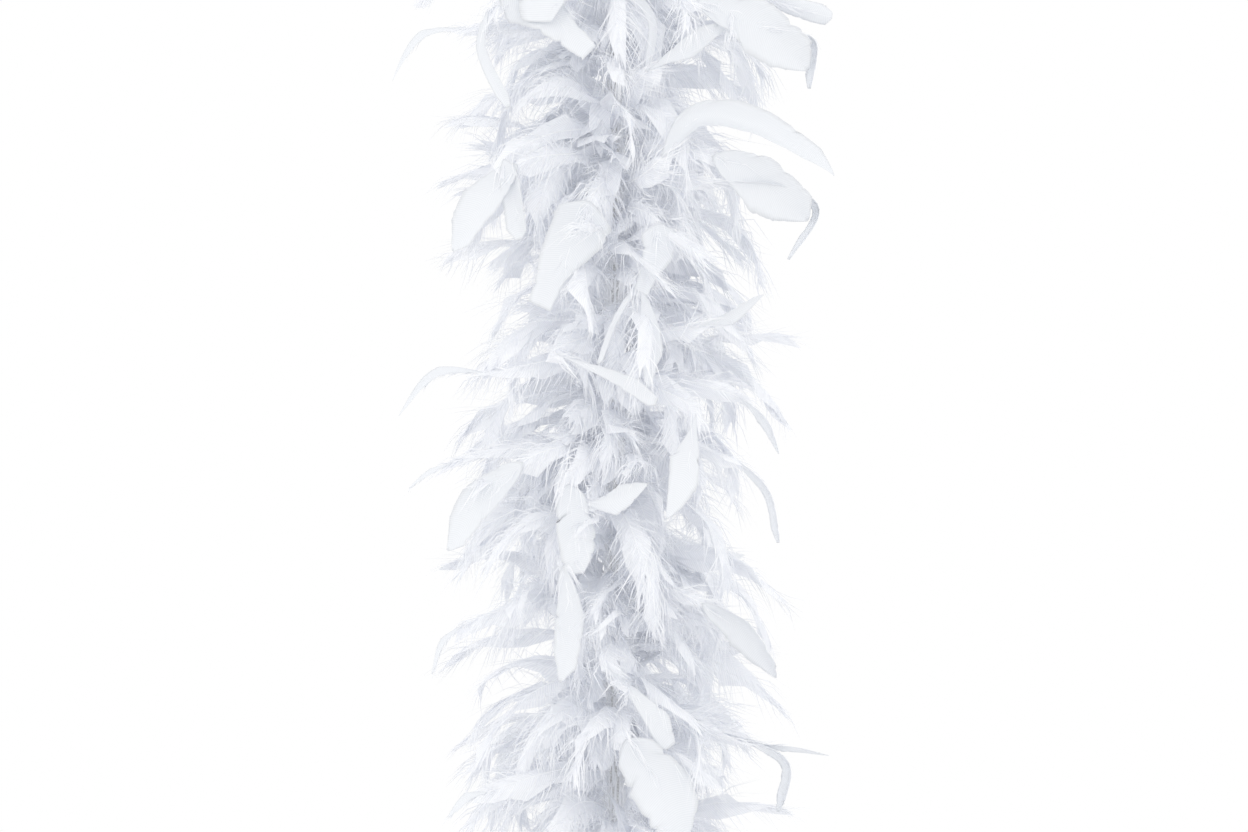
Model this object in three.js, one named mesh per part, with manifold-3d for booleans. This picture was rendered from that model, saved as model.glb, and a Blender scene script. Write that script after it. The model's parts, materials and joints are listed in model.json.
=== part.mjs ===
// A feather boa hanging by the loop at its upper end.
//
// Millimetres, +Z up. The origin is the hook point: the inside of the upper loop, where a hook or a peg carries
// the boa. A twisted cotton cord runs down the middle. Feather quills lie along the cord all round it and are held
// by one sewing thread wound over them. At each end the cord is doubled back into a loop and whipped with thread.
//
// The cord is limp, so the boa is cut into short sections that hinge on each other, one about X and the next about
// Y. Each section carries its own length of cord, its own length of thread and its own whorl of feathers.

import * as THREE from "three";
import { mergeVertices } from "three/addons/utils/BufferGeometryUtils.js";
import Module from "manifold-3d";

const wasm = await Module();
wasm.setup();

// ---- Driving dimensions ----

const SECTION_COUNT = 18;
const SECTION_LENGTH = 100;
const CORD_RADIUS = 2;
const CLEARANCE = 0.3; // between pieces that touch on the real boa

// The loops and the whippings that close them.
const LOOP_HALF_WIDTH = 10;
const LOOP_LEG_BOTTOM = -45;
const WHIPPING_TOP = -30;
const WHIPPING_BOTTOM = -44;
const WHIPPING_WALL = 1.2;
const FIRST_JOINT = -48; // height of the hinge between the upper loop and the first section

// The hinge between two lengths of cord. Their ends are round and stand this far from the pivot.
const PIVOT_GAP = 0.6;

// The quills, laid flat along the cord and close enough together to make a sleeve.
const SLEEVE_WALL = 1.2;
const SLEEVE_MARGIN = 6; // from the section's ends

// The thread turns this many times along a section. The odd part of a turn is the golden angle, so the feathers of
// neighbouring sections never line up.
const GOLDEN_TURN = (3 - Math.sqrt(5)) / 2;
const THREAD_RADIUS = 0.4;
const THREAD_HELIX_RADIUS = 4.6;
const THREAD_PITCH = SECTION_LENGTH / (4 + GOLDEN_TURN);
const THREAD_MARGIN = 7; // from the section's ends

// The feathers of one section. They come out of the sleeve one below another, a golden angle further round each
// time. A section bends up to this far against the next, so its feathers stay out of the wedge that this leaves.
const FEATHERS_PER_SECTION = 9;
const FIRST_FEATHER_DEPTH = 15;
const TIP_DEPTHS = [40, 76]; // of the highest and the lowest feather, below the top of their section
const LONGEST_REACH = 75; // from the cord's middle line to a feather's tip
const BEND_LIMIT = THREE.MathUtils.degToRad(45);
const BEND_CLEARANCE = 6;
const FEATHER_THICKNESS = 0.8;
const FEATHER_HALF_WIDTH = 11;
const QUILL_HALF_WIDTH = 0.9;
const FEATHER_ARCH = THREE.MathUtils.degToRad(36); // how far a feather curls down from its quill to its tip
const FEATHER_ROLL = THREE.MathUtils.degToRad(18); // how far its vane leans over, to one side and the other in turn

// ---- Colours ----

const FEATHER_WHITE = new THREE.MeshStandardMaterial({ color: "#e9ebf2", roughness: 0.75, metalness: 0 });
const CORD_COTTON = new THREE.MeshStandardMaterial({ color: "#e2e2e4", roughness: 0.9, metalness: 0 });
const THREAD_WHITE = new THREE.MeshStandardMaterial({ color: "#f1f1f3", roughness: 0.6, metalness: 0 });

// ---- Helpers ----

function namedMesh(name, geometry, material) {
  const mesh = new THREE.Mesh(geometry, material);
  mesh.name = name;
  return mesh;
}

// A closed geometry as a manifold-3d solid.
function toSolid(geometry) {
  const bare = geometry.index ? geometry.toNonIndexed() : geometry.clone();
  bare.deleteAttribute("normal");
  bare.deleteAttribute("uv");
  const merged = mergeVertices(bare, 1e-4);
  return new wasm.Manifold(
    new wasm.Mesh({
      numProp: 3,
      vertProperties: merged.attributes.position.array,
      triVerts: new Uint32Array(merged.index.array),
    }),
  );
}

function toGeometry(solid) {
  const mesh = solid.getMesh();
  const geometry = new THREE.BufferGeometry();
  geometry.setAttribute("position", new THREE.BufferAttribute(mesh.vertProperties, 3));
  geometry.setIndex(new THREE.BufferAttribute(mesh.triVerts, 1));
  geometry.computeVertexNormals();
  return geometry;
}

// A profile of [radius, height] points turned about Z.
function turned(profile, sides) {
  const points = profile.map(([radius, height]) => new THREE.Vector2(radius, height));
  return new THREE.LatheGeometry(points, sides).rotateX(Math.PI / 2);
}

function roundShape(radius, sides) {
  const shape = new THREE.Shape();
  for (let i = 0; i < sides; i++) {
    const angle = (2 * Math.PI * i) / sides;
    const point = [radius * Math.cos(angle), radius * Math.sin(angle)];
    if (i === 0) shape.moveTo(...point);
    else shape.lineTo(...point);
  }
  shape.closePath();
  return shape;
}

// A slot outline: two half circles of this radius whose centres are this far from the middle.
function slotPath(path, centre, radius) {
  path.moveTo(-centre, -radius);
  path.lineTo(centre, -radius);
  path.absarc(centre, 0, radius, -Math.PI / 2, Math.PI / 2, false);
  path.lineTo(-centre, radius);
  path.absarc(-centre, 0, radius, Math.PI / 2, (3 * Math.PI) / 2, false);
  return path;
}

// ---- The core cord: one straight length for each section, with round ends ----

function cordLength() {
  const sides = 8;
  const arcSteps = 3;
  const top = -PIVOT_GAP;
  const bottom = -SECTION_LENGTH + PIVOT_GAP;
  const profile = [];
  for (let i = 0; i <= arcSteps; i++) {
    const angle = (Math.PI / 2) * (i / arcSteps);
    profile.push([CORD_RADIUS * Math.sin(angle), bottom + CORD_RADIUS * (1 - Math.cos(angle))]);
  }
  for (let i = 0; i <= arcSteps; i++) {
    const angle = (Math.PI / 2) * (1 - i / arcSteps);
    profile.push([CORD_RADIUS * Math.sin(angle), top - CORD_RADIUS * (1 - Math.cos(angle))]);
  }
  profile[0][0] = 0;
  profile[profile.length - 1][0] = 0;
  return turned(profile, sides);
}

// ---- The binding thread: a helix that runs on from section to section ----

// The thread's angle round the cord at a depth below the section's top, for the section of this number.
function threadAngle(depth, section) {
  return (2 * Math.PI * (depth + section * SECTION_LENGTH)) / THREAD_PITCH;
}

class ThreadHelix extends THREE.Curve {
  constructor(section) {
    super();
    this.section = section;
  }

  getPoint(t, target = new THREE.Vector3()) {
    const depth = THREAD_MARGIN + t * (SECTION_LENGTH - 2 * THREAD_MARGIN);
    const angle = threadAngle(depth, this.section);
    return target.set(THREAD_HELIX_RADIUS * Math.cos(angle), THREAD_HELIX_RADIUS * Math.sin(angle), -depth);
  }
}

function bindingThread(section) {
  const stepsPerTurn = 8;
  const turns = (SECTION_LENGTH - 2 * THREAD_MARGIN) / THREAD_PITCH;
  return new THREE.ExtrudeGeometry(roundShape(THREAD_RADIUS, 3), {
    steps: Math.round(turns * stepsPerTurn),
    extrudePath: new ThreadHelix(section),
  });
}

// ---- A whorl of feathers: the quill sleeve with feathers standing out of it all round ----

function quillSleeve() {
  const inner = CORD_RADIUS + CLEARANCE;
  const outer = inner + SLEEVE_WALL;
  const top = -SLEEVE_MARGIN;
  const bottom = -SECTION_LENGTH + SLEEVE_MARGIN;
  const profile = [
    [inner, bottom],
    [outer, bottom],
    [outer, top],
    [inner, top],
    [inner, bottom],
  ];
  return turned(profile, 8);
}

// The outline of a feather laid flat: a thin quill, the wide downy part, and the vane narrowing to a blunt tip.
function featherOutline(length) {
  const stations = [
    [0.0, QUILL_HALF_WIDTH],
    [0.12, QUILL_HALF_WIDTH],
    [0.34, 0.75 * FEATHER_HALF_WIDTH],
    [0.6, FEATHER_HALF_WIDTH],
    [0.87, 0.75 * FEATHER_HALF_WIDTH],
  ];
  const shape = new THREE.Shape();
  shape.moveTo(0, -QUILL_HALF_WIDTH);
  for (const [along, halfWidth] of stations.slice(1)) shape.lineTo(along * length, -halfWidth);
  shape.lineTo(length, 0);
  for (const [along, halfWidth] of stations.slice().reverse()) shape.lineTo(along * length, halfWidth);
  shape.closePath();
  return shape;
}

// A feather that leaves the sleeve at this depth, curls down, and has its tip at this reach and depth.
function feather(depth, reach, tipDepth, roll) {
  const rootRadius = CORD_RADIUS + CLEARANCE + SLEEVE_WALL / 2;
  const chord = Math.hypot(reach - rootRadius, tipDepth - depth);
  const arcRadius = chord / (2 * Math.sin(FEATHER_ARCH / 2));
  const length = arcRadius * FEATHER_ARCH;
  const startSlope = FEATHER_ARCH / 2 - Math.atan2(tipDepth - depth, reach - rootRadius);
  const geometry = new THREE.ExtrudeGeometry(featherOutline(length), {
    depth: FEATHER_THICKNESS,
    bevelEnabled: false,
  });
  geometry.translate(0, 0, -FEATHER_THICKNESS / 2);
  const positions = geometry.attributes.position;
  const point = new THREE.Vector3();
  for (let i = 0; i < positions.count; i++) {
    point.fromBufferAttribute(positions, i);
    // The middle line is an arc: its slope falls evenly from the quill to the tip.
    const slope = startSlope - point.x / arcRadius;
    const along = arcRadius * (Math.sin(startSlope) - Math.sin(slope));
    const rise = arcRadius * (Math.cos(slope) - Math.cos(startSlope));
    // The quill lies level across and the vane beyond it leans over.
    const lean = roll * Math.min(1, point.x / (0.34 * length));
    const across = point.y * Math.cos(lean) - point.z * Math.sin(lean);
    const above = point.y * Math.sin(lean) + point.z * Math.cos(lean);
    positions.setXYZ(
      i,
      rootRadius + along - above * Math.sin(slope),
      across,
      -depth + rise + above * Math.cos(slope),
    );
  }
  return geometry;
}

// The feathers come out of the sleeve on the side away from the thread, so each is half a turn of thread clear.
function featherWhorl(section) {
  const wedge = Math.tan(BEND_LIMIT / 2);
  let whorl = toSolid(quillSleeve());
  for (let i = 0; i < FEATHERS_PER_SECTION; i++) {
    const depth = FIRST_FEATHER_DEPTH + i * GOLDEN_TURN * THREAD_PITCH;
    const tipDepth = THREE.MathUtils.lerp(...TIP_DEPTHS, i / (FEATHERS_PER_SECTION - 1));
    const depthToEnd = Math.min(tipDepth, SECTION_LENGTH - tipDepth);
    const reach = Math.min(LONGEST_REACH, (depthToEnd - BEND_CLEARANCE) / wedge);
    const roll = i % 2 ? FEATHER_ROLL : -FEATHER_ROLL;
    const angle = threadAngle(depth, section) + Math.PI;
    whorl = whorl.add(toSolid(feather(depth, reach, tipDepth, roll).rotateZ(angle)));
  }
  return toGeometry(whorl);
}

// ---- The end loops: cord doubled back on itself, and the whipping round its two legs ----

function endLoop() {
  const leg = CORD_RADIUS + CLEARANCE / 2;
  const side = [
    [leg, LOOP_LEG_BOTTOM],
    [leg, WHIPPING_BOTTOM + 4],
    [leg, WHIPPING_TOP],
    [leg + 2.4, WHIPPING_TOP + 8],
    [LOOP_HALF_WIDTH - 0.6, -13],
    [LOOP_HALF_WIDTH, -7],
    [0.75 * LOOP_HALF_WIDTH, CORD_RADIUS - 3.2],
  ];
  const left = side.map(([x, z]) => new THREE.Vector3(-x, 0, z));
  const right = side.map(([x, z]) => new THREE.Vector3(x, 0, z)).reverse();
  const top = new THREE.Vector3(0, 0, CORD_RADIUS);
  const route = new THREE.CatmullRomCurve3([...left, top, ...right], false, "centripetal");
  return new THREE.ExtrudeGeometry(roundShape(CORD_RADIUS, 8), { steps: 28, extrudePath: route });
}

function whipping() {
  const legCentre = CORD_RADIUS + CLEARANCE / 2;
  const hole = CORD_RADIUS + CLEARANCE;
  const shape = slotPath(new THREE.Shape(), legCentre, hole + WHIPPING_WALL);
  shape.holes.push(slotPath(new THREE.Path(), legCentre, hole));
  const geometry = new THREE.ExtrudeGeometry(shape, {
    depth: WHIPPING_TOP - WHIPPING_BOTTOM,
    bevelEnabled: false,
    curveSegments: 6,
  });
  return geometry.translate(0, 0, WHIPPING_BOTTOM);
}

function loopedEnd(prefix) {
  const end = new THREE.Group();
  end.add(namedMesh(`${prefix}_loop`, endLoop(), CORD_COTTON));
  end.add(namedMesh(`${prefix}_whipping`, whipping(), THREAD_WHITE));
  return end;
}

// ---- Assembly ----

const boa = new THREE.Group();
boa.add(loopedEnd("top"));

for (let i = 0; i < SECTION_COUNT; i++) {
  const number = String(i + 1).padStart(2, "0");
  const section = new THREE.Group();
  section.position.z = FIRST_JOINT - i * SECTION_LENGTH;
  section.add(namedMesh(`core_cord_${number}`, cordLength(), CORD_COTTON));
  section.add(namedMesh(`binding_thread_${number}`, bindingThread(i), THREAD_WHITE));
  section.add(namedMesh(`feather_whorl_${number}`, featherWhorl(i), FEATHER_WHITE));
  boa.add(section);
}

// The lower end is the upper one turned upside down, below the last hinge.
const lowerEnd = loopedEnd("bottom");
lowerEnd.rotation.x = Math.PI;
lowerEnd.position.z = FIRST_JOINT - SECTION_COUNT * SECTION_LENGTH + FIRST_JOINT;
boa.add(lowerEnd);

export default boa;
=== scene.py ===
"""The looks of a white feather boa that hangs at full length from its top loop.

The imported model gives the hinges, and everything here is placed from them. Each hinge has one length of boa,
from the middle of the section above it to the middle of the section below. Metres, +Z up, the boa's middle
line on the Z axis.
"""

import json
import math

import bpy
import numpy as np
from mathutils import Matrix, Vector


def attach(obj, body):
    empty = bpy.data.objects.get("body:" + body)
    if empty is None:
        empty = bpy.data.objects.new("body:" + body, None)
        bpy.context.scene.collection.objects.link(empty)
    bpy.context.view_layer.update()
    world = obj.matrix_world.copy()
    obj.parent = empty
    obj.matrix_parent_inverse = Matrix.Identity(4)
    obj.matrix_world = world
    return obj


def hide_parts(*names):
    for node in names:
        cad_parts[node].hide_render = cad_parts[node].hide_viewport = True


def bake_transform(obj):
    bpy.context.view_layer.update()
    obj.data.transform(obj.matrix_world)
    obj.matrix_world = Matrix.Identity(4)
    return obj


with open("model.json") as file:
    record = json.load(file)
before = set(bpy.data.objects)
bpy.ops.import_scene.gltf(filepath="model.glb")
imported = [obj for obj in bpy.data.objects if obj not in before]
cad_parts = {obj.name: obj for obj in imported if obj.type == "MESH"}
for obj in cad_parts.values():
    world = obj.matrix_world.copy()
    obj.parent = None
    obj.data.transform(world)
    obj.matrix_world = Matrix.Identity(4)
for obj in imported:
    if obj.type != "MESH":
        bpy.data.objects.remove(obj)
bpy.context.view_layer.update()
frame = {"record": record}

MM = 0.001
TURN = 2 * math.pi
GOLDEN_ANGLE = math.pi * (3 - math.sqrt(5))

# ---- Places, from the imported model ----

JOINTS = frame["record"]["behaviour"]["joints"]
HINGE_HEIGHTS = [joint["pos_m"][2] for joint in JOINTS]
SECTION_LENGTH = HINGE_HEIGHTS[0] - HINGE_HEIGHTS[1]
BOA_TOP = HINGE_HEIGHTS[0]
BOA_BOTTOM = HINGE_HEIGHTS[-1]

# ---- Sizes that part.mjs also has ----

CORD_RADIUS = 2 * MM
THREAD_RADIUS = 0.4 * MM
THREAD_HELIX_RADIUS = 4.6 * MM
THREAD_PITCH = SECTION_LENGTH / (4 + GOLDEN_ANGLE / TURN)
WHIPPING_TOP = -30 * MM
WHIPPING_BOTTOM = -44 * MM
LEG_OFFSET = 2.15 * MM  # from the middle line to the middle of each of a loop's two legs
LOOP_LEG_BOTTOM = -45 * MM
# The right half of the upper loop's route, from the end of its leg nearly to its top, as x and z in mm.
LOOP_SIDE = [(2.15, -45), (2.15, -40), (2.15, -30), (4.55, -22), (9.4, -13), (10, -7), (7.5, -1.2)]
LOOP_TOP = 2 * MM
LOOP_TOP_LEG_END = LOOP_LEG_BOTTOM
LOOP_BOTTOM_LEG_END = BOA_TOP + BOA_BOTTOM - LOOP_LEG_BOTTOM

# ---- Sizes of the plumage ----

SLEEVE_RADII = (2.8 * MM, 3.8 * MM)  # the feathers' roots lie between these, round the cord
FIRST_ROOT = 9 * MM  # from the first hinge down to where the feathers begin, and the same at the lower end
LONGEST_REACH = 88 * MM  # of any tip from the middle line
FREE_REACH = 76 * MM  # points further out than this are drawn in, so as to stay within the longest reach

# ---- The camera: level, and square to the boa ----

IMAGE_WIDTH = 1248
IMAGE_HEIGHT = 832
VIEW_WIDTH = 0.474
VIEW_HEIGHT = VIEW_WIDTH * IMAGE_HEIGHT / IMAGE_WIDTH
VIEW_TOP = -0.075
VIEW_CENTRE_X = 3.4 * MM  # the boa hangs a little left of the middle of the view
LENS = 110
SENSOR = 36


def make_camera():
    camera = bpy.data.objects.new("camera", bpy.data.cameras.new("camera"))
    camera.data.lens = LENS
    camera.data.sensor_width = SENSOR
    distance = VIEW_WIDTH * LENS / SENSOR
    camera.location = (VIEW_CENTRE_X, -distance, VIEW_TOP - VIEW_HEIGHT / 2)
    camera.rotation_euler = (math.pi / 2, 0, 0)
    bpy.context.scene.collection.objects.link(camera)
    bpy.context.scene.camera = camera


# ---- Meshes: closed shells gathered into one mesh ----


def within_reach(points):
    """The points drawn in towards the Z axis where they are further out than a feather reaches."""
    radius = np.linalg.norm(points[:, :2], axis=1)
    room = LONGEST_REACH - FREE_REACH
    drawn = FREE_REACH + room * np.tanh((radius - FREE_REACH) / room)
    share = np.where(radius > FREE_REACH, drawn / np.maximum(radius, FREE_REACH), 1)
    return points * np.stack([share, share, np.ones(len(points))], axis=1)


class Shells:
    """Gathers closed shells. Each point has a tone and a grain, which the materials read. The tone runs from
    0 at a feather's shaft to 1 at the ends of its barbs, or up to 1 along its vane. The grain of a barb is a
    random number, and that of anything else is its place along the feather or cord in mm."""

    def __init__(self):
        self.points = []
        self.quads = []
        self.triangles = []
        self.tones = []
        self.grains = []
        self.flat_quads = []
        self.flat_triangles = []
        self.count = 0

    def add(self, points, quads, triangles, tones, grains, flat):
        """flat: whether every face is flat-shaded, or for each quad whether it is."""
        points = points.reshape(-1, 3)
        quads = np.asarray(quads, np.int64).reshape(-1, 4)
        self.points.append(points)
        self.quads.append(quads + self.count)
        triangles = np.asarray(triangles, np.int64).reshape(-1, 3)
        self.triangles.append(triangles + self.count)
        self.tones.append(np.broadcast_to(tones, len(points)) if np.ndim(tones) == 0 else tones.ravel())
        self.grains.append(np.broadcast_to(grains, len(points)) if np.ndim(grains) == 0 else grains.ravel())
        self.flat_quads.append(np.broadcast_to(flat, len(quads)))
        self.flat_triangles.append(np.broadcast_to(flat is True, len(triangles)))
        self.count += len(points)

    def make(self, name, material):
        points = within_reach(np.concatenate(self.points))
        quads = np.concatenate(self.quads)
        triangles = np.concatenate(self.triangles)
        corners = np.concatenate([quads.ravel(), triangles.ravel()])
        starts = np.concatenate([np.arange(len(quads)) * 4, quads.size + np.arange(len(triangles)) * 3])
        mesh = bpy.data.meshes.new(name)
        mesh.vertices.add(len(points))
        mesh.vertices.foreach_set("co", points.astype(np.float32).ravel())
        mesh.loops.add(len(corners))
        mesh.loops.foreach_set("vertex_index", corners.astype(np.int32))
        mesh.polygons.add(len(starts))
        mesh.polygons.foreach_set("loop_start", starts.astype(np.int32))
        mesh.update(calc_edges=True)
        for attribute, values in (("tone", self.tones), ("grain", self.grains)):
            layer = mesh.attributes.new(attribute, "FLOAT", "POINT")
            layer.data.foreach_set("value", np.concatenate(values).astype(np.float32))
        # A vane's rim is flat-shaded, so that its two faces are shaded right up to their edge. So are thin
        # strands and soft webs, because smooth shading on so few faces would make them too dark.
        flat = mesh.attributes.new("sharp_face", "BOOLEAN", "FACE")
        flat.data.foreach_set("value", np.concatenate([*self.flat_quads, *self.flat_triangles]))
        mesh.materials.append(material)
        piece = bpy.data.objects.new(name, mesh)
        bpy.context.scene.collection.objects.link(piece)
        return piece


def unit(vectors):
    return vectors / np.maximum(np.linalg.norm(vectors, axis=-1, keepdims=True), 1e-12)


def spline(points, count):
    """This many points on a smooth curve through the given ones."""
    points = np.asarray(points, float)
    padded = np.concatenate([[2 * points[0] - points[1]], points, [2 * points[-1] - points[-2]]])
    places = np.linspace(0, len(points) - 1, count)
    span = np.minimum(places.astype(int), len(points) - 2)
    t = (places - span)[:, None]
    before, start, end, after = (padded[span + i] for i in range(4))
    straight = 2 * start + (end - before) * t
    curved = (2 * before - 5 * start + 4 * end - after) * t**2 + (3 * start - before - 3 * end + after) * t**3
    return (straight + curved) / 2


def frames_along(line):
    """Two directions square to the line at each of its points, which don't twist about it."""
    tangents = unit(np.gradient(line, axis=0))
    normal = np.array([0.0, 1.0, 0.0]) if abs(tangents[0][1]) < 0.9 else np.array([1.0, 0.0, 0.0])
    normals = []
    for tangent in tangents:
        normal = unit(normal - tangent * (normal @ tangent))
        normals.append(normal)
    normals = np.array(normals)
    return np.cross(normals, tangents), normals


STRAND_SIDES = 3
STRAND_FLATNESS = 0.45  # of a strand's section: its thickness against its width
STRAND_TAPER = np.array([0.8, 1.0])  # its width at each of its points but the last, where it comes to a tip


def add_strands(shells, lines, facing, widths, tones, grains):
    """Barbs with a triangular section. lines: strands x points x 3. facing: the way each one's flat looks."""
    count, rings = lines.shape[0], lines.shape[1] - 1
    direction = unit(lines[:, -1] - lines[:, 0])
    normal = unit(facing - direction * np.sum(facing * direction, axis=1, keepdims=True))
    side = np.cross(normal, direction)
    angles = math.pi / 2 + TURN / STRAND_SIDES * np.arange(STRAND_SIDES)
    around = (
        np.cos(angles)[None, :, None] * side[:, None, :]
        + STRAND_FLATNESS * np.sin(angles)[None, :, None] * normal[:, None, :]
    )
    radii = widths[:, None] / 2 * STRAND_TAPER[None, :]
    ring_points = lines[:, :-1, None, :] + radii[:, :, None, None] * around[:, None, :, :]
    tip = rings * STRAND_SIDES
    last = tip - STRAND_SIDES
    points = np.concatenate([ring_points.reshape(count, tip, 3), lines[:, -1:, :]], axis=1)
    quads = []
    triangles = []
    for corner in range(STRAND_SIDES):
        after = (corner + 1) % STRAND_SIDES
        for low in range(0, last, STRAND_SIDES):
            high = low + STRAND_SIDES
            quads.append((low + corner, low + after, high + after, high + corner))
        triangles.append((last + corner, last + after, tip))
    triangles.append((2, 1, 0))
    first = np.arange(count)[:, None, None] * (tip + 1)
    ring_tones = tones[:, :-1].repeat(STRAND_SIDES, axis=1)
    point_tones = np.concatenate([ring_tones, tones[:, -1:]], axis=1)
    point_grains = np.broadcast_to(grains[:, None], point_tones.shape)
    quads = np.array(quads)[None] + first
    triangles = np.array(triangles)[None] + first
    shells.add(points, quads, triangles, point_tones, point_grains, flat=True)


TUBE_TONE = 0.5  # the same all over a tube
ROUND_SIDES = 6  # a tube with fewer sides than this is flat-shaded


def add_tube(shells, line, radii, sides, grain=0.0):
    """A tube along a line of points, with flat ends. grain: its grain at its start, in mm."""
    count = len(line)
    across, up = frames_along(line)
    angles = TURN * np.arange(sides) / sides
    around = np.cos(angles)[None, :, None] * across[:, None] + np.sin(angles)[None, :, None] * up[:, None]
    rings = line[:, None] + np.broadcast_to(radii, count)[:, None, None] * around
    ring, corner = np.meshgrid(np.arange(count - 1), np.arange(sides), indexing="ij")
    after = (corner + 1) % sides
    low, high = ring * sides, (ring + 1) * sides
    quads = np.stack([low + corner, low + after, high + after, high + corner], axis=-1).reshape(-1, 4)
    last = (count - 1) * sides
    triangles = [(0, corner + 1, corner) for corner in range(1, sides - 1)]
    triangles += [(last, last + corner, last + corner + 1) for corner in range(1, sides - 1)]
    along = np.concatenate([[0], np.cumsum(np.linalg.norm(np.diff(line, axis=0), axis=1))]) / MM
    shells.add(rings, quads, triangles, TUBE_TONE, grain + np.repeat(along, sides), flat=sides < ROUND_SIDES)


# ---- A feather ----


class Feather:
    """A feather's shaft as a curve with a frame. place() puts points that are given in the feather's own flat
    space (share of the length, across, above) where the bent and rolled feather has them."""

    def __init__(self, line, facing):
        self.line = line
        steps = np.linalg.norm(np.diff(line, axis=0), axis=1)
        self.length = steps.sum()
        self.shares = np.concatenate([[0], np.cumsum(steps)]) / self.length
        tangents = unit(np.gradient(line, self.shares, axis=0))
        normals = unit(facing - tangents * np.sum(facing * tangents, axis=1, keepdims=True))
        self.table = np.concatenate([line, np.cross(normals, tangents), normals, tangents], axis=1)

    def frames(self, shares):
        """The shaft's middle, side, normal and tangent at these shares of its length."""
        clipped = np.clip(shares, 0, 1)
        columns = [np.interp(clipped, self.shares, column) for column in self.table.T]
        values = np.stack(columns, axis=-1)
        return values[..., 0:3], values[..., 3:6], values[..., 6:9], values[..., 9:12]

    def place(self, shares, across, above):
        centre, side, normal, tangent = self.frames(shares)
        beyond = np.maximum(shares - 1, 0) * self.length
        return (
            centre
            + across[..., None] * side
            + above[..., None] * normal
            + beyond[..., None] * tangent
        )


SHAFT_POINTS = 12


def swept_feather(root, azimuth, length, rise, droop, curl, sweep, roll, twist):
    """A feather that leaves the cord at this azimuth and rise, droops, and curls at its tip. All its angles
    are in radians."""
    shares = np.linspace(0, 1, SHAFT_POINTS)
    slope = rise - droop * shares**1.2 - curl * shares**4
    heading = azimuth + sweep * shares**2
    tangents = np.stack(
        [np.cos(slope) * np.cos(heading), np.cos(slope) * np.sin(heading), np.sin(slope)], axis=1
    )
    steps = (tangents[1:] + tangents[:-1]) / 2 * length / (SHAFT_POINTS - 1)
    line = root + np.concatenate([np.zeros((1, 3)), np.cumsum(steps, axis=0)])
    level = np.stack([-np.sin(heading), np.cos(heading), np.zeros(SHAFT_POINTS)], axis=1)
    upward = np.cross(tangents, level)
    angle = (roll + twist * shares)[:, None]
    return Feather(line, np.cos(angle) * upward + np.sin(angle) * level)


SHAFT_SIDES = 4
SHAFT_RADII = ((0, 0.25, 0.5, 1), (0.44 * MM, 0.34 * MM, 0.15 * MM, 0.05 * MM))  # by share of its length
QUILL_LENGTH = 11 * MM
# The quill's points above the root, and how thick it is at each, against the shaft's thickest.
QUILL_HEIGHTS = np.array([1.0, 0.65, 0.3, 0.1]) * QUILL_LENGTH
QUILL_SWELL = np.array([0.4, 1, 1, 1])


def add_shaft(shells, feather):
    """The quill that lies along the cord above the root, then the shaft."""
    quill = feather.line[0] + QUILL_HEIGHTS[:, None] * np.array([0, 0, 1.0])
    quill_radii = SHAFT_RADII[1][0] * QUILL_SWELL
    radii = np.concatenate([quill_radii, np.interp(feather.shares, *SHAFT_RADII)])
    add_tube(shells, np.concatenate([quill, feather.line]), radii, SHAFT_SIDES)


BARB_POINTS = 3
BARB_FALL = 0.12  # how far a barb's end sinks under its own weight, as a share of its length


class Plumage:
    """How the barbs on one side of a shaft lie, between two shares of its length. Neighbours lie nearly
    parallel, as combed down does. hand: -1 or 1, the shaft's side. angles: from the shaft, at the first and
    the last barb. loft: how far they leave the feather's flat."""

    def __init__(self, feather, rng, hand, first, last, length, angles, loft):
        self.feather = feather
        self.hand = hand
        self.first = first
        self.last = last
        self.length = length
        self.angles = angles
        self.loft = loft
        self.phase = rng.uniform(0, TURN, 4)
        self.pace = rng.uniform(4, 9)
        self.bend = rng.uniform(0.4, 0.9)

    def lines(self, place, reach, turn=0.0, lift=0.0, points=BARB_POINTS):
        """The barbs at these places, from 0, the first, to 1, the last, and the feather's normals there.
        reach: each one's share of the full length. turn and lift: how far it strays from its neighbours."""
        along = np.linspace(0, 1, points)
        # The barbs are longest near the middle. Slow waves run along the shaft in their lift, angle and bend.
        lengths = self.length * (0.5 + 0.6 * np.sin(math.pi * (0.14 + 0.74 * place))) * reach
        wave = 0.6 * np.sin(self.phase[0] + place * self.pace) + 0.3 * np.sin(self.phase[1] + place * 15)
        rising = self.loft * wave + lift
        angle = np.interp(place, [0, 1], self.angles) + 0.12 * np.sin(self.phase[2] + place * 12) + turn
        bend = self.bend + 0.15 * np.sin(self.phase[3] + place * 8)
        turned = angle[:, None] - bend[:, None] * along[None, :]
        steps = lengths[:, None] / (points - 1)
        start = np.zeros((len(place), 1))
        forward = np.concatenate([start, np.cumsum(np.cos(turned[:, 1:]) * steps, axis=1)], axis=1)
        outward = np.concatenate([start, np.cumsum(np.sin(turned[:, 1:]) * steps, axis=1)], axis=1)
        above = rising[:, None] * lengths[:, None] * along**1.3 - 0.1 * lengths[:, None] * along**3
        shares = (self.first + (self.last - self.first) * place)[:, None] + forward / self.feather.length
        lines = self.feather.place(shares, self.hand * outward, above)
        lines[..., 2] -= BARB_FALL * lengths[:, None] * along**2
        return lines, self.feather.frames(shares)[2]


WEB_ROWS = 7
WEB_POINTS = 3


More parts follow.
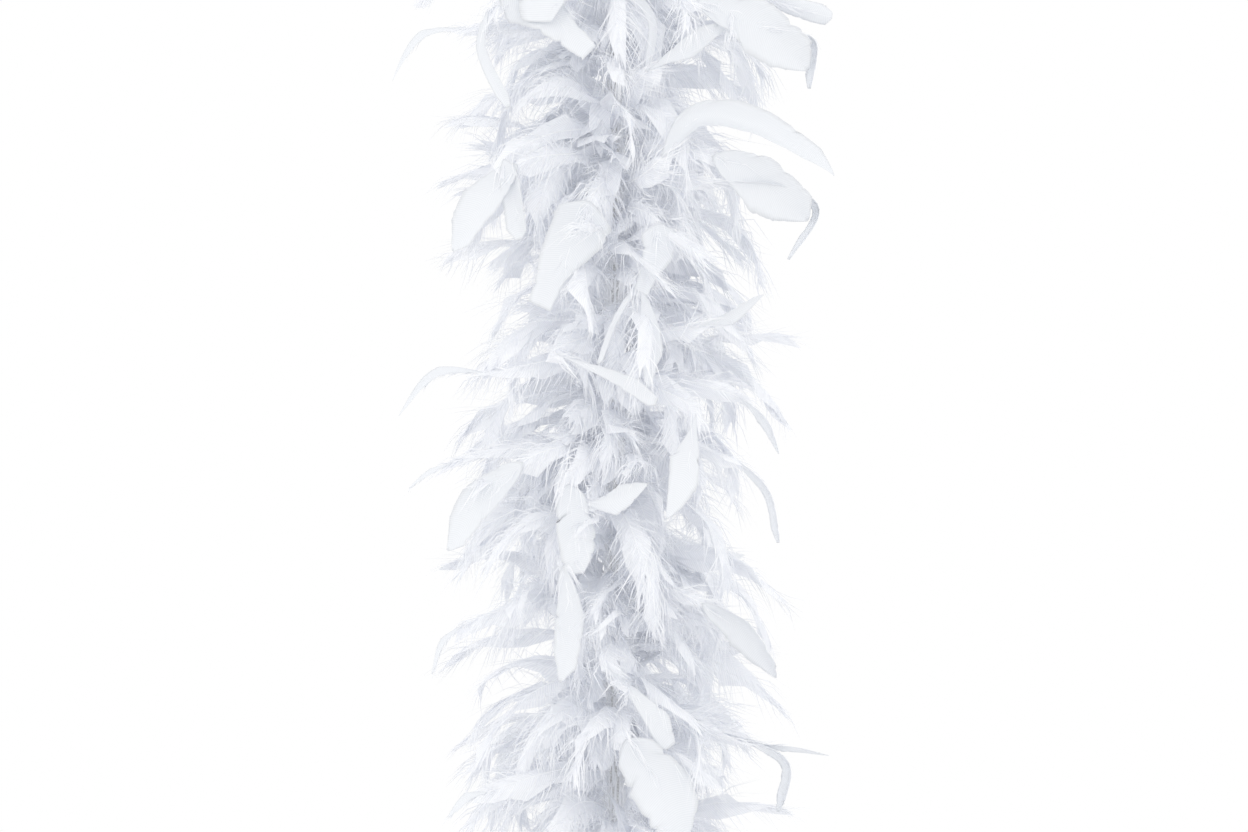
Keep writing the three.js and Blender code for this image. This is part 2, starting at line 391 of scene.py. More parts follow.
def add_barbs(
    shells,
    feather,
    rng,
    first,
    last,
    count,
    length,
    angles,
    loft,
    width=0.5 * MM,
    web=0.0,
    web_tones=(0, 0.5),
):
    """Loose barbs on both sides of the shaft, this many on each. web: the share of their length over which
    they cling together, so that they make one soft sheet, out of which their ends stand."""
    for hand in (-1, 1):
        plumage = Plumage(feather, rng, hand, first, last, length, angles, loft)
        place = np.linspace(0, 1, count) + rng.normal(0, 0.3 / count, count)
        lines, normals = plumage.lines(
            place,
            rng.uniform(0.7, 1.2, count),
            turn=rng.normal(0, 0.16, count),
            lift=loft * rng.normal(0, 0.35, count),
        )
        tones = np.broadcast_to(np.linspace(0.25, 1, BARB_POINTS), (count, BARB_POINTS))
        widths = width * rng.uniform(0.7, 1.25, count)
        add_strands(shells, lines, normals[:, 0], widths, tones, rng.uniform(0, 1, count))
        if web:
            place = np.linspace(0, 1, WEB_ROWS)
            lines = plumage.lines(place, web * rng.uniform(0.75, 1.2, WEB_ROWS), points=WEB_POINTS)[0]
            tones = np.broadcast_to(np.linspace(*web_tones, WEB_POINTS), (WEB_ROWS, WEB_POINTS))
            grains = (first + (last - first) * place) * feather.length / MM
            add_sheet(shells, lines, tones, np.broadcast_to(grains[:, None], tones.shape), smooth=False)


SHEET_THICKNESS = 0.14 * MM


def add_sheet(shells, middle, tones, grains, smooth):
    """A thin closed sheet through rows of points. smooth: whether its two faces are smooth-shaded."""
    rows, columns = middle.shape[:2]
    normals = unit(np.cross(np.gradient(middle, axis=0), np.gradient(middle, axis=1)))
    top = middle + normals * SHEET_THICKNESS / 2
    bottom = middle - normals * SHEET_THICKNESS / 2
    count = rows * columns
    index = np.arange(count).reshape(rows, columns)
    corners = [index[:-1, :-1], index[1:, :-1], index[1:, 1:], index[:-1, 1:]]
    upper = np.stack(corners, axis=-1).reshape(-1, 4)
    lower = upper[:, ::-1] + count
    # The rim runs round the edge against the upper face's turn.
    edge = np.concatenate([index[0, :], index[1:, -1], index[-1, -2::-1], index[-2:0:-1, 0]])
    after = np.roll(edge, -1)
    rim = np.stack([edge, after, after + count, edge + count], axis=-1)
    quads = np.concatenate([upper, lower, rim])
    flat = np.arange(len(quads)) >= (len(quads) - len(rim) if smooth else 0)
    points = np.concatenate([top.reshape(-1, 3), bottom.reshape(-1, 3)])
    shells.add(points, quads, [], np.tile(tones.ravel(), 2), np.tile(grains.ravel(), 2), flat)


# The outlines of a vane: for each of its two sides, shares of its length and of its half-width there.
OUTLINES = {
    "cut": (
        ((0, 0.7), (0.3, 1), (0.86, 1), (1, 0.85)),
        ((0, 0.7), (0.5, 1), (0.72, 0.8), (1, 0.05)),
    ),
    "petal": (
        ((0, 0.5), (0.4, 1), (0.7, 0.75), (1, 0.03)),
        ((0, 0.5), (0.3, 0.85), (0.82, 0.8), (1, 0.03)),
    ),
    "lance": (
        ((0, 0.15), (0.35, 1), (1, 0)),
        ((0, 0.15), (0.55, 1), (0.8, 0.6), (1, 0)),
    ),
    "spear": (
        ((0, 0.05), (0.85, 0.95), (0.92, 1), (1, 0.6)),
        ((0, 0.05), (0.68, 1), (1, 0.05)),
    ),
    "tab": (
        ((0, 0.9), (0.5, 0.75), (0.85, 0.5), (1, 0.45)),
        ((0, 1), (0.2, 0.95), (0.65, 0.35), (1, 0.3)),
    ),
    "band": (
        ((0, 0.6), (0.2, 0.9), (0.8, 1), (1, 0.35)),
        ((0, 0.8), (0.2, 1), (0.88, 1), (1, 0.1)),
    ),
}
VANE_STATIONS = 25
VANE_SPLITS = 3  # on each side of a vane, where its barbs have come apart at their ends
VANE_COLUMNS = np.linspace(-1, 1, 9)  # across it, from one edge to the other
VANE_RIM = 0.2 * MM  # added to its half-width, so that it never comes down to nothing
VANE_LAG = 0.14  # how far along the vane a barb's end lies past its root
SHAFT_SINK = 0.12 * MM  # the shaft lies behind the vane


def add_vane(shells, feather, rng, start, half_widths, outline, cup, ripple):
    """The firm vane at the tip: a thin sheet whose rows run along the barbs, from one edge to the other. cup
    and ripple: how far its edges stand above the shaft and wave, as shares of its half-width."""
    corners = [share for profile in OUTLINES[outline] for share, _ in profile]
    order = np.unique(np.concatenate([np.linspace(0, 1, VANE_STATIONS), corners]))[:, None]
    out = np.abs(VANE_COLUMNS)[None, :]
    widths = []
    splits = []
    for half_width, profile in zip(half_widths, OUTLINES[outline]):
        widths.append(half_width * np.interp(order, *zip(*profile)) + VANE_RIM)
        uneven = rng.normal(1, 0.02, order.shape)
        uneven[rng.integers(1, len(order) - 1, VANE_SPLITS)] *= rng.uniform(0.82, 0.96)
        splits.append(uneven)
    width = np.where(VANE_COLUMNS[None, :] < 0, widths[0], widths[1])
    split = np.where(VANE_COLUMNS[None, :] < 0, splits[0], splits[1])
    shares = start + (1 - start) * (order + VANE_LAG * (1 - order) ** 0.7 * out**1.5)
    wave = np.sin(rng.uniform(0, TURN) + order * rng.uniform(5, 9) + VANE_COLUMNS * rng.uniform(-1, 1))
    above = width * (cup * out**1.8 + ripple * wave * out**2) + SHAFT_SINK
    tones = np.broadcast_to(0.5 + 0.5 * order, shares.shape)
    grains = np.broadcast_to((start + (1 - start) * order) * feather.length / MM, shares.shape)
    middle = feather.place(shares, VANE_COLUMNS * width * split, above)
    add_sheet(shells, middle, tones, grains, smooth=True)


class Plumes:
    """The shells of one length of boa, one for each kind of surface."""

    def __init__(self):
        self.down = Shells()
        self.vanes = Shells()
        self.quills = Shells()


def angle_between(low, high, rng):
    """A random angle in radians, between two in degrees."""
    return math.radians(rng.uniform(low, high))


def root_point(azimuth, height, rng):
    radius = rng.uniform(*SLEEVE_RADII)
    return np.array([radius * math.cos(azimuth), radius * math.sin(azimuth), height])


def add_inner_feather(plumes, rng, azimuth, height):
    """A short bushy feather that wraps round the cord and hides it."""
    hand = rng.choice([-1, 1])
    feather = swept_feather(
        root_point(azimuth, height, rng),
        azimuth + hand * angle_between(25, 80, rng),
        length=rng.uniform(22, 34) * MM,
        rise=angle_between(-10, 50, rng),
        droop=angle_between(30, 130, rng),
        curl=angle_between(-20, 20, rng),
        sweep=hand * angle_between(-20, 60, rng),
        roll=hand * angle_between(30, 90, rng),
        twist=-hand * angle_between(0, 70, rng),
    )
    add_shaft(plumes.quills, feather)
    add_barbs(
        plumes.down,
        feather,
        rng,
        first=0.05,
        last=1.0,
        count=24,
        length=14 * MM,
        angles=(1.4, 0.8),
        loft=0.5,
        width=0.42 * MM,
        web=0.65,
    )


def add_down_feather(plumes, rng, azimuth, height):
    """A short feather that is down from end to end, and droops over the ones below it."""
    feather = swept_feather(
        root_point(azimuth, height, rng),
        azimuth,
        length=rng.uniform(38, 72) * MM,
        rise=angle_between(0, 60, rng),
        droop=angle_between(50, 140, rng),
        curl=angle_between(-20, 20, rng),
        sweep=angle_between(-70, 70, rng),
        roll=angle_between(-55, 55, rng),
        twist=angle_between(-50, 50, rng),
    )
    add_shaft(plumes.quills, feather)
    add_barbs(
        plumes.down,
        feather,
        rng,
        first=0.1,
        last=1.0,
        count=46,
        length=17 * MM,
        angles=(1.3, 0.6),
        loft=0.6,
        width=0.42 * MM,
        web=0.45,
    )


def add_soft_feather(plumes, rng, azimuth, height):
    """A broad soft feather: its barbs cling together nearly to their ends."""
    feather = swept_feather(
        root_point(azimuth, height, rng),
        azimuth,
        length=rng.uniform(56, 80) * MM,
        rise=angle_between(0, 50, rng),
        droop=angle_between(40, 120, rng),
        curl=angle_between(-30, 20, rng),
        sweep=angle_between(-40, 40, rng),
        roll=angle_between(-60, 60, rng),
        twist=angle_between(-60, 60, rng),
    )
    add_shaft(plumes.quills, feather)
    add_barbs(
        plumes.down,
        feather,
        rng,
        first=0.15,
        last=0.55,
        count=20,
        length=15 * MM,
        angles=(1.2, 0.9),
        loft=0.5,
        web=0.5,
    )
    add_barbs(
        plumes.down,
        feather,
        rng,
        first=0.45,
        last=1.0,
        count=30,
        length=15 * MM,
        angles=(0.95, 0.4),
        loft=0.2,
        web=0.7,
        web_tones=(0.6, 1),
    )


def add_petal(plumes, feather, rng, start, width, outline, cup):
    """A feather that is down below, with a firm vane at its tip. start: the share of its length at which the
    vane begins. Finer barbs make the change from one to the other."""
    half_widths = width / 2 * rng.uniform(0.9, 1.1, 2)
    add_shaft(plumes.quills, feather)
    add_barbs(
        plumes.down,
        feather,
        rng,
        first=0.15,
        last=start + 0.03,
        count=28,
        length=15 * MM,
        angles=(1.2, 0.75),
        loft=0.45,
        web=0.5,
    )
    add_barbs(
        plumes.down,
        feather,
        rng,
        first=start - 0.2,
        last=start + 0.25,
        count=30,
        length=1.3 * max(width / 2, 5 * MM),
        angles=(0.85, 0.4),
        loft=0.12,
        width=0.4 * MM,
    )
    add_vane(plumes.vanes, feather, rng, start, half_widths, outline, cup, ripple=rng.uniform(0.02, 0.1))


def add_petal_feather(plumes, rng, azimuth, height):
    """A longer feather that droops, with a broad vane."""
    feather = swept_feather(
        root_point(azimuth, height, rng),
        azimuth,
        length=rng.uniform(54, 74) * MM,
        rise=angle_between(0, 45, rng),
        droop=angle_between(50, 125, rng),
        curl=angle_between(-60, 50, rng),
        sweep=angle_between(-50, 50, rng),
        roll=angle_between(-40, 40, rng),
        twist=angle_between(-80, 80, rng),
    )
    outline = rng.choice(["cut", "petal", "lance", "spear", "tab", "band"])
    width = rng.uniform(9, 20) * MM
    add_petal(plumes, feather, rng, rng.uniform(0.5, 0.64), width, outline, rng.uniform(-0.2, 0.5))


def add_wisp_feather(plumes, rng, azimuth, height):
    """A long thin feather that reaches past the rest, with a narrow curled vane."""
    feather = swept_feather(
        root_point(azimuth, height, rng),
        azimuth,
        length=rng.uniform(74, 92) * MM,
        rise=angle_between(0, 35, rng),
        droop=angle_between(35, 75, rng),
        curl=angle_between(-60, 80, rng),
        sweep=angle_between(-35, 35, rng),
        roll=angle_between(-60, 60, rng),
        twist=angle_between(-90, 90, rng),
    )
    outline = rng.choice(["band", "lance"])
    add_petal(plumes, feather, rng, rng.uniform(0.58, 0.72), rng.uniform(4, 8) * MM, outline, 0.3)


FEATHERS_PER_METRE = 1350
# d, i, s, p and w for down, inner, soft, petal and wisp feathers, in the order in which they follow each
# other on the cord, over and over.
KINDS = "didisidpdididwidisidpidd"
AZIMUTH_SPREAD = 0.06


def add_feathers(plumes, low, high, first, rng):
    """Feathers all round the cord between two heights. first: the number of the highest of them. Returns the
    number after the lowest, so that the golden angle runs on from one length of boa to the next."""
    count = round((high - low) * FEATHERS_PER_METRE)
    for i in range(count):
        height = high - (i + 0.5) * (high - low) / count
        azimuth = (first + i) * GOLDEN_ANGLE + rng.normal(0, AZIMUTH_SPREAD)
        kind = KINDS[(first + i) % len(KINDS)]
        if kind == "i":
            add_inner_feather(plumes, rng, azimuth, height)
        elif kind == "d" or in_front(azimuth, height):
            add_down_feather(plumes, rng, azimuth, height)
        elif kind == "s":
            add_soft_feather(plumes, rng, azimuth, height)
        elif kind == "p":
            add_petal_feather(plumes, rng, azimuth, height)
        else:
            add_wisp_feather(plumes, rng, azimuth, height)
    return first + count


# ---- The feathers that lie in front in the view, each one listed ----

FRONT_REACH = 44 * MM  # of the front feathers from the middle line, towards the camera
FRONT_SIDE = 92 * MM  # the reach towards the camera falls to nothing this far out to the side
FRONT_HEIGHTS = (-400 * MM, -70 * MM)
FRONT_SINE = 0.35  # of a feather's azimuth: below this it is in front or nearly so
SPAN_POINTS = 9  # in each span of a front feather's line
VANE_POINTS = 2 * SPAN_POINTS

# Each feather's vane runs through these points (x and z in mm) to its tip. Then its full width in mm, its
# outline, its roll in degrees at its base and tip, its cup, and how far in mm its root lies above its vane's
# first point.
FRONT_FEATHERS = [
    ([(-42, -78), (-26, -84), (-9, -99)], 20, "tab", (10, -10), 0.2, 8),
    ([(4, -74), (14, -88), (12, -106)], 3.4, "band", (20, 50), 0.2, 10),
    ([(12, -106), (26, -97), (44, -87)], 9, "lance", (0, 25), 0.3, -6),
    ([(30, -80), (52, -88), (72, -104)], 22, "petal", (-20, 10), 0.3, 4),
    ([(60, -92), (74, -94), (73, -111)], 5, "band", (30, 60), 0.4, 4),
    ([(-55, -89), (-72, -92), (-86, -107)], 5, "lance", (30, 60), 0.3, 4),
    ([(-47, -83), (-49, -98), (-39, -119)], 4.5, "band", (50, 20), 0.3, 8),
    ([(-41, -138), (-38, -150), (-35, -168)], 8, "band", (10, 30), 0.4, 14),
    ([(-9, -154), (-17, -171), (-27, -193)], 25, "tab", (-15, 15), 0.1, 10),
    ([(16, -162), (16, -173), (10, -188)], 14, "tab", (20, -10), 0.2, 8),
    ([(9, -184), (13, -200), (12, -223)], 10, "lance", (-20, 20), 0.2, 8),
    ([(12, -180), (1, -196), (-6, -214)], 1.8, "band", (0, 0), 0.1, 8),
    ([(17, -138), (31, -123), (52, -126), (69, -135), (84, -143)], 14, "petal", (-10, -60), 0.5, -8),
    ([(36, -137), (54, -146), (72, -160)], 22, "petal", (-10, 20), 0.3, 6),
    ([(36, -147), (60, -148), (76, -156), (65, -175)], 4, "band", (40, 60), 0.4, 6),
    ([(-22, -210), (-2, -218), (16, -227)], 6.5, "spear", (0, 10), 0.15, 8),
    ([(30, -232), (27, -249), (19, -271)], 13, "lance", (15, -10), 0.15, 12),
    ([(-12, -266), (0, -264), (12, -258)], 10, "lance", (-20, 10), 0.3, 10),
    ([(-17, -258), (-15, -273), (-12, -291)], 14, "cut", (-10, 10), 0.2, 14),
    ([(-19, -288), (-16, -308), (-20, -331)], 11, "petal", (30, -10), 0.2, 12),
    ([(-3, -325), (9, -338), (22, -354)], 10, "spear", (10, 0), 0.15, 10),
    ([(4, -352), (16, -368), (27, -388)], 23, "cut", (10, -15), 0.2, 10),
    ([(-36, -140), (-50, -156), (-60, -172)], 16, "petal", (20, 40), 0.3, 6),
    ([(-46, -217), (-66, -218), (-82, -233)], 6, "lance", (40, 60), 0.4, 6),
    ([(-60, -250), (-70, -255), (-77, -260)], 3, "lance", (40, 60), 0.3, 8),
    ([(-34, -250), (-50, -266), (-62, -283)], 17, "petal", (20, 40), 0.3, 8),
    ([(-56, -310), (-64, -318), (-68, -329)], 4, "lance", (50, 60), 0.3, 10),
    ([(-47, -372), (-55, -375), (-62, -382)], 5, "lance", (30, 60), 0.3, 8),
    ([(31, -200), (44, -195), (55, -188)], 7, "lance", (30, 50), 0.3, -2),
    ([(46, -226), (55, -234), (61, -247)], 5, "lance", (40, 50), 0.3, 8),
    ([(46, -250), (57, -262), (61, -280)], 4, "band", (50, 60), 0.3, 8),
    ([(32, -302), (48, -312), (60, -330)], 14, "petal", (30, 55), 0.4, 8),
    ([(46, -354), (64, -356), (81, -360)], 4, "lance", (50, 60), 0.3, 8),
    ([(48, -352), (64, -362), (61, -380)], 5, "band", (50, 60), 0.3, 8),
]


def in_front(azimuth, height):
    """True where the feathers that are listed one by one take the place of the longer ones."""
    return FRONT_HEIGHTS[0] < height < FRONT_HEIGHTS[1] and math.sin(azimuth) < FRONT_SINE


def front_feather(points, rolls, root_rise, rng):
    """The feather whose vane runs through these points, and the share of its length where the vane starts."""
    places = []
    for x, z in points:
        near = math.sqrt(max(0, 1 - (x * MM / FRONT_SIDE) ** 2))
        places.append(np.array([x * MM, -FRONT_REACH * near, z * MM]))
    base = places[0]
    root = root_point(math.atan2(base[1], base[0]), base[2] + root_rise * MM, rng)
    knee = np.array([0.55 * base[0], 0.7 * base[1], base[2] + 0.75 * root_rise * MM])
    # From the root to the vane's base are two spans. The third only gives the curve its direction there.
    vane_start = 2 * SPAN_POINTS
    before = spline([root, knee, base, places[1]], 3 * SPAN_POINTS + 1)[:vane_start]
    line = np.concatenate([before, spline(places, VANE_POINTS)])
    tangents = unit(np.gradient(line, axis=0))
    roll = np.radians(np.interp(np.arange(len(line)), [vane_start, len(line) - 1], rolls))[:, None]
    viewer = np.array([0.0, -1.0, 0.0])
    facing = np.cos(roll) * viewer + np.sin(roll) * np.cross(tangents, viewer)
    feather = Feather(line, facing)
    return feather, feather.shares[vane_start]


def add_front_feathers(plumes, low, high, rng):
    """Those front feathers whose root lies between these heights."""
    for points, width, outline, rolls, cup, root_rise in FRONT_FEATHERS:
        if low < (points[0][1] + root_rise) * MM <= high:
            feather, start = front_feather(points, rolls, root_rise, rng)
            add_petal(plumes, feather, rng, start, width * MM, outline, cup)


# ---- Cord, thread, loops and whippings ----

PLIES = 3
PLY_RADIUS = 1.02 * MM
PLY_OFFSET = 1.0 * MM  # of a ply's middle from the cord's
PLY_PITCH = 11 * MM
PLY_SIDES = 8
PLY_GRAIN = 37.0  # each ply's grain starts this far on from the last one's, so that their fibres differ
THREAD_SIDES = 6
CORE_STEP = 1.1 * MM
CORE_SHIFT = 10 * MM  # the height over which the core runs over into a leg of the loop
THREAD_POINTS = 26  # in each turn round the quills
WHIPPING_POINTS = 28  # in each turn round the loop's legs
WHIPPING_PITCH = 2.05 * THREAD_RADIUS
WHIPPING_CORNER = 1.8  # above 1, the thread bends over the legs and runs flatter between them
LOOP_POINTS = 120


def add_twisted_cord(shells, line, start=0.0):
    """Three plies twisted about a line. start: the length of cord before it, so that the plies run on."""
    across, up = frames_along(line)
    along = start + np.concatenate([[0], np.cumsum(np.linalg.norm(np.diff(line, axis=0), axis=1))])
    for ply in range(PLIES):
        angle = (TURN * (along / PLY_PITCH + ply / PLIES))[:, None]
        path = line + PLY_OFFSET * (np.cos(angle) * across + np.sin(angle) * up)
        add_tube(shells, path, PLY_RADIUS, PLY_SIDES, grain=PLY_GRAIN * ply)


def core_route(top, bottom):
    """The core cord's middle line between two heights. At each end of the boa it runs over into a leg of the
    loop."""
    heights = np.append(np.arange(top, bottom, -CORE_STEP), bottom)
    near_top = 1 - (LOOP_TOP_LEG_END - heights) / CORE_SHIFT
    near_bottom = 1 - (heights - LOOP_BOTTOM_LEG_END) / CORE_SHIFT
    share = np.clip(np.maximum(near_top, near_bottom), 0, 1)
    offset = LEG_OFFSET * share**2 * (3 - 2 * share)
    return np.stack([offset, np.zeros(len(heights)), heights], axis=1)


def thread_route(top, bottom):
    """The binding thread's helix, which runs on from the first hinge to the last."""
    heights = np.linspace(top, bottom, round((top - bottom) / THREAD_PITCH * THREAD_POINTS))
    angle = TURN * (BOA_TOP - heights) / THREAD_PITCH
    x = THREAD_HELIX_RADIUS * np.cos(angle)
    y = THREAD_HELIX_RADIUS * np.sin(angle)
    return np.stack([x, y, heights], axis=1)


def loop_route():
    """The upper loop's middle line, from one leg's end over the top to the other's."""
    left = [(-x * MM, 0, z * MM) for x, z in LOOP_SIDE]
    right = [(x * MM, 0, z * MM) for x, z in reversed(LOOP_SIDE)]
    return spline([*left, (0, 0, LOOP_TOP), *right], LOOP_POINTS)


def whipping_route():
    """Thread wound round the loop's two legs, turn against turn."""
    turns = (WHIPPING_TOP - WHIPPING_BOTTOM - 2 * THREAD_RADIUS) / WHIPPING_PITCH
    angle = np.linspace(0, TURN * turns, round(turns * WHIPPING_POINTS))
    radius = CORD_RADIUS + THREAD_RADIUS
    x = LEG_OFFSET * np.clip(WHIPPING_CORNER * np.cos(angle), -1, 1) + radius * np.cos(angle)
    height = WHIPPING_BOTTOM + THREAD_RADIUS + WHIPPING_PITCH * angle / TURN
    return np.stack([x, radius * np.sin(angle), height], axis=1)


def turned_over(line):
    """A line of the upper end moved to the lower end, which is the upper one turned upside down."""
    return line * np.array([1, -1, -1]) + np.array([0, 0, BOA_TOP + BOA_BOTTOM])


# ---- Materials ----


def new_material(name, roughness):
    material = bpy.data.materials.new(name)
    material.use_nodes = True
    shader = material.node_tree.nodes["Principled BSDF"]
    shader.inputs["Roughness"].default_value = roughness
    return material, material.node_tree, shader


def attribute_node(tree, name):
    node = tree.nodes.new("ShaderNodeAttribute")
    node.attribute_name = name
    return node.outputs["Fac"]


def colour_ramp(tree, factor, stops):
    ramp = tree.nodes.new("ShaderNodeValToRGB")
    elements = ramp.color_ramp.elements
    while len(elements) < len(stops):
        elements.new(0.5)
    for element, (position, colour) in zip(elements, stops):
        element.position = position
        element.color = (*colour, 1)
    tree.links.new(factor, ramp.inputs["Fac"])
    return ramp.outputs["Color"]


def mix_colours(tree, factor, first, second, mode="MIX"):
    mix = tree.nodes.new("ShaderNodeMix")
    mix.data_type = "RGBA"
    mix.blend_type = mode
    for value, socket in ((factor, mix.inputs[0]), (first, mix.inputs[6]), (second, mix.inputs[7])):
        if isinstance(value, bpy.types.NodeSocket):
            tree.links.new(value, socket)
        else:
            socket.default_value = value if isinstance(value, float) else (*value, 1)
    return mix.outputs[2]


def stripes(tree, period):
    """0 to 1 and back as the grain grows, once for each period."""
    turns = tree.nodes.new("ShaderNodeMath")
    turns.operation = "MULTIPLY"
    turns.inputs[1].default_value = TURN / period
    tree.links.new(attribute_node(tree, "grain"), turns.inputs[0])
    sine = tree.nodes.new("ShaderNodeMath")
    sine.operation = "SINE"
    tree.links.new(turns.outputs[0], sine.inputs[0])
    lines = tree.nodes.new("ShaderNodeMapRange")
    lines.inputs["From Min"].default_value = -1
    lines.inputs["From Max"].default_value = 1
    tree.links.new(sine.outputs[0], lines.inputs["Value"])
    return lines.outputs["Result"]


def add_bump(tree, shader, height, strength, distance):
    bump = tree.nodes.new("ShaderNodeBump")
    bump.inputs["Strength"].default_value = strength
    bump.inputs["Distance"].default_value = distance
    tree.links.new(height, bump.inputs["Height"])
    tree.links.new(bump.outputs["Normal"], shader.inputs["Normal"])


def down_material():
    """Downy barbs, painted a little greyer at the shaft than at their ends: painted shade deep in the boa and
    painted light at the ends, where light passes through. Some are darker at random, and the webs have fine
    lines of painted shade between their barbs.
    """
    material, tree, shader = new_material("down", 0.85)
    # Painted shade and light: greyer by the shafts, deep in the boa, and paler at the barbs' ends.
    ends = colour_ramp(
        tree,
        attribute_node(tree, "tone"),
        [(0.0, (0.885, 0.895, 0.917)), (0.5, (0.9, 0.908, 0.922)), (1.0, (0.916, 0.92, 0.932))],
    )
    # Painted shade: on the webs these darker lines are the shade between the barbs. On loose strands the grain
    # is random, so each strand gets its own tone.
    combed = mix_colours(tree, stripes(tree, 1.0), (0.91, 0.915, 0.935), (1.0, 1.0, 1.0))
    colour = mix_colours(tree, 1.0, ends, combed, "MULTIPLY")
    tree.links.new(colour, shader.inputs["Base Color"])
    return material


def vane_material():
    """The vane's barbs lie side by side, so it is smooth, with fine lines across, painted shade in the grooves
    between the barbs, and greyer at its base.
    """
    material, tree, shader = new_material("vane", 0.6)
    lines = stripes(tree, 0.8)
    # Painted shade: the lines darken the grooves between the barbs, and the bump gives them their relief.
    combed = mix_colours(tree, lines, (0.935, 0.94, 0.948), (1.0, 1.0, 1.0))
    along = colour_ramp(
        tree,
        attribute_node(tree, "tone"),
        [(0.5, (0.785, 0.803, 0.832)), (0.8, (0.82, 0.837, 0.862))],
    )
    colour = mix_colours(tree, 1.0, along, combed, "MULTIPLY")
    tree.links.new(colour, shader.inputs["Base Color"])
    add_bump(tree, shader, lines, 0.2, 0.08 * MM)
    return material


def quill_material():
    """Quills and shafts: pale horn, a little glossy."""
    material, tree, shader = new_material("quill", 0.45)
    noise = tree.nodes.new("ShaderNodeTexNoise")
    noise.inputs["Scale"].default_value = 300
    colour = mix_colours(tree, noise.outputs["Fac"], (0.9, 0.905, 0.92), (0.95, 0.955, 0.96))
    tree.links.new(colour, shader.inputs["Base Color"])
    return material


def yarn_material(name, roughness, colour, shade, period):
    """Spun yarn: fine rings of shade along it, period mm apart, with softer blotches."""
    material, tree, shader = new_material(name, roughness)
    noise = tree.nodes.new("ShaderNodeTexNoise")
    noise.inputs["Scale"].default_value = 900
    fibres = mix_colours(tree, stripes(tree, period), shade, colour)
    blotches = mix_colours(tree, noise.outputs["Fac"], (0.93, 0.93, 0.93), (1.0, 1.0, 1.0))
    tree.links.new(mix_colours(tree, 1.0, fibres, blotches, "MULTIPLY"), shader.inputs["Base Color"])
    add_bump(tree, shader, noise.outputs["Fac"], 0.4, 0.1 * MM)
    return material


def floor_material():
    material, tree, shader = new_material("floor", 0.7)
    noise = tree.nodes.new("ShaderNodeTexNoise")
    noise.inputs["Scale"].default_value = 3
    colour = mix_colours(tree, noise.outputs["Fac"], (0.86, 0.86, 0.865), (0.88, 0.88, 0.885))
    tree.links.new(colour, shader.inputs["Base Color"])
    return material


# ---- Light and floor ----

WORLD_STRENGTH = 1.0
KEY_POWER = 1.5
KEY_SIZE = 1.5
KEY_PLACE = (-1.2, -2.2, 1.0)
FILLS = 4
FILL_POWER = 0.34
FILL_SPREAD = math.pi / 2
FILL_DISTANCE = 2
FILL_HEIGHT = 0.6  # above the boa's middle
DIFFUSE_BOUNCES = 12  # white down passes light on many times
FLOOR_DEPTH = 0.1  # below the boa's lower end
FLOOR_HALF_WIDTH = 8


def aim(light, target):
    """Turn a light towards a point, and put it in the scene."""
    light.rotation_euler = (target - light.location).to_track_quat("-Z", "Y").to_euler()
    bpy.context.scene.collection.objects.link(light)


def make_light():
    """An even white studio, a large soft light in front and above on the left, and fill lights all round. The
    fills cast no shadows, so they reach the down's depths, as light does that passes through real down."""
    world = bpy.data.worlds.new("studio")
    world.use_nodes = True
    world.node_tree.nodes["Background"].inputs["Color"].default_value = (1, 1, 1, 1)
    world.node_tree.nodes["Background"].inputs["Strength"].default_value = WORLD_STRENGTH
    bpy.context.scene.world = world
    bpy.context.scene.view_settings.view_transform = "Standard"
    bpy.context.scene.view_settings.look = "None"
    bpy.context.scene.cycles.diffuse_bounces = DIFFUSE_BOUNCES
    middle = Vector((0, 0, (BOA_TOP + BOA_BOTTOM) / 2))
    key = bpy.data.objects.new("key", bpy.data.lights.new("key", "AREA"))
    key.data.size = KEY_SIZE
    key.data.energy = KEY_POWER
    key.location = KEY_PLACE
    aim(key, middle)
    for i in range(FILLS):
        name = f"fill_{i}"
        fill = bpy.data.objects.new(name, bpy.data.lights.new(name, "SUN"))
        fill.data.energy = FILL_POWER
        fill.data.angle = FILL_SPREAD
        fill.data.use_shadow = False
        azimuth = TURN * (i + 0.5) / FILLS
        x = FILL_DISTANCE * math.cos(azimuth)
        y = FILL_DISTANCE * math.sin(azimuth)
        fill.location = middle + Vector((x, y, FILL_HEIGHT))
        aim(fill, middle)


def make_floor():
    side = FLOOR_HALF_WIDTH
    low = BOA_BOTTOM - FLOOR_DEPTH
    mesh = bpy.data.meshes.new("floor")
    corners = [(-side, -side, low), (side, -side, low), (side, side, low), (-side, side, low)]
    mesh.from_pydata(corners, [], [(0, 1, 2, 3)])
    mesh.materials.append(floor_material())
    floor = bpy.data.objects.new("floor", mesh)
    bpy.context.scene.collection.objects.link(floor)


# ---- Assembly ----

make_camera()
make_light()
make_floor()

DOWN = down_material()
VANE = vane_material()
QUILL = quill_material()
COTTON = yarn_material("cotton", 0.9, (0.86, 0.86, 0.85), (0.72, 0.72, 0.72), 1.1)
THREAD = yarn_material("thread", 0.6, (0.92, 0.92, 0.93), (0.8, 0.8, 0.82), 0.7)


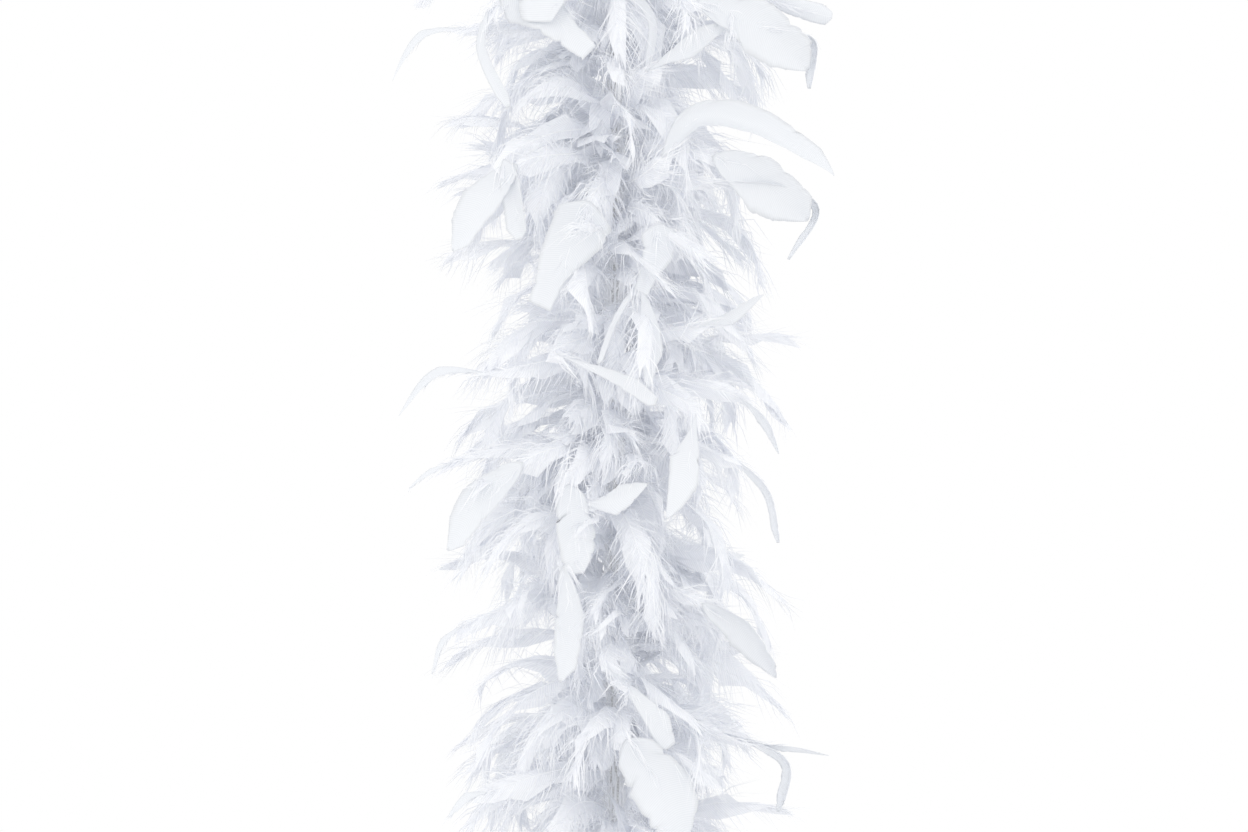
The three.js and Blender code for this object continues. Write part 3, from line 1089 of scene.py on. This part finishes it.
def lengths_of_boa():
    """One for each hinge: its number, its joint, and the heights between which its length of boa lies."""
    middles = [height - SECTION_LENGTH / 2 for height in HINGE_HEIGHTS[:-1]]
    for number, joint in enumerate(JOINTS):
        top = middles[number - 1] if number else LOOP_TOP_LEG_END
        bottom = middles[number] if number < len(middles) else LOOP_BOTTOM_LEG_END
        yield number, joint, top, bottom


def put_on(piece, nodes):
    """Fix a piece where it stands, and hide the imported nodes that it takes the place of, those of the
    sections above and below its hinge.
    """
    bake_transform(piece)
    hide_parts(*nodes)


def nodes_of(prefix, number):
    """The nodes of this kind in the sections above and below the hinge of this number."""
    return [f"{prefix}_{i:02d}" for i in (number, number + 1) if 1 <= i < len(JOINTS)]


FIRST_SEED = 100

feather_number = 0
for number, joint, top, bottom in lengths_of_boa():
    rng = np.random.default_rng(FIRST_SEED + number)
    plumes = Plumes()
    highest = min(top, BOA_TOP - FIRST_ROOT)
    lowest = max(bottom, BOA_BOTTOM + FIRST_ROOT)
    feather_number = add_feathers(plumes, lowest, highest, feather_number, rng)
    add_front_feathers(plumes, bottom, top, rng)
    whorls = nodes_of("feather_whorl", number)
    for shells, kind, material in (
        (plumes.down, "down", DOWN),
        (plumes.vanes, "vanes", VANE),
        (plumes.quills, "quills", QUILL),
    ):
        put_on(shells.make(f"{kind}_{number:02d}", material), whorls)
    cord = Shells()
    add_twisted_cord(cord, core_route(top, bottom), start=LOOP_TOP_LEG_END - top)
    put_on(cord.make(f"cord_{number:02d}", COTTON), nodes_of("core_cord", number))
    thread = Shells()
    add_tube(thread, thread_route(min(top, BOA_TOP), max(bottom, BOA_BOTTOM)), THREAD_RADIUS, THREAD_SIDES)
    windings = nodes_of("binding_thread", number)
    put_on(thread.make(f"thread_{number:02d}", THREAD), windings)

for body, prefix, route in (("top_end", "top", lambda line: line), ("bottom_end", "bottom", turned_over)):
    loop = Shells()
    add_twisted_cord(loop, route(loop_route()))
    whipping = Shells()
    add_tube(whipping, route(whipping_route()), THREAD_RADIUS, THREAD_SIDES)
    for shells, name, material, slot in (
        (loop, "loop", COTTON, "cotton_cord"),
        (whipping, "whipping", THREAD, "binding_thread"),
    ):
        piece = shells.make(f"{prefix}_{name}_wound", material)
        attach(piece, body)
        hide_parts(f"{prefix}_{name}")
